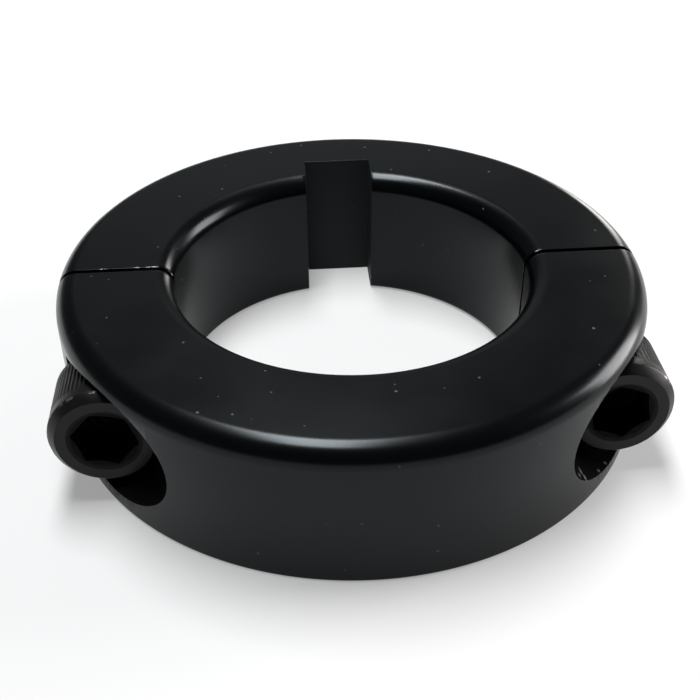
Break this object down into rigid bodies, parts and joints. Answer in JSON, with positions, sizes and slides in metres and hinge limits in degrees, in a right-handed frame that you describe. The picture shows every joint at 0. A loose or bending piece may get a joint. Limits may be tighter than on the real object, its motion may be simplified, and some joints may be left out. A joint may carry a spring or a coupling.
{
  "type": "axle lock collar",
  "caption": "Split clamp collar with a keyway and counterbored socket head screws; it grips a keyed axle and holds a hub, sprocket or bearing in place along it.",
  "frame": {"origin": "on the axle's centre line, in the plane of the lower side face", "axes": "+Z along the axle, +Y from the split plane towards the keyway, so the screws enter from -Y and stand side by side along X"},
  "size_m": [0.0524, 0.0524, 0.0132],
  "materials": {
    "black_anodised_aluminium": "satin black anodised",
    "black_oxide_steel": "black oxide, straight-knurled head"
  },
  "bodies": {
    "keyed_half": {"keyed_half": "black_anodised_aluminium"},
    "clamp_half": {"clamp_half": "black_anodised_aluminium"},
    "left_screw": {"left_cap_screw": "black_oxide_steel"},
    "right_screw": {"right_cap_screw": "black_oxide_steel"}
  },
  "joints": [
    {"name": "clamp_half_slide", "type": "slide", "parent": "keyed_half", "child": "clamp_half", "axis": [0, -1, 0], "range_m": [-0.0004, 0.0058]},
    {"name": "left_screw_turn", "type": "hinge", "parent": "clamp_half", "child": "left_screw", "pos_m": [-0.02129, -0.00915, 0.0066], "axis": [0, -1, 0], "range_deg": [-160, 2303]},
    {"name": "right_screw_turn", "type": "hinge", "parent": "clamp_half", "child": "right_screw", "pos_m": [0.02129, -0.00915, 0.0066], "axis": [0, -1, 0], "range_deg": [-160, 2303]}
  ],
  "couplings": [
    {"joint": "left_screw_turn", "follows": "clamp_half_slide", "rad_per_m": 6926.3},
    {"joint": "right_screw_turn", "follows": "clamp_half_slide", "rad_per_m": 6926.3}
  ]
}
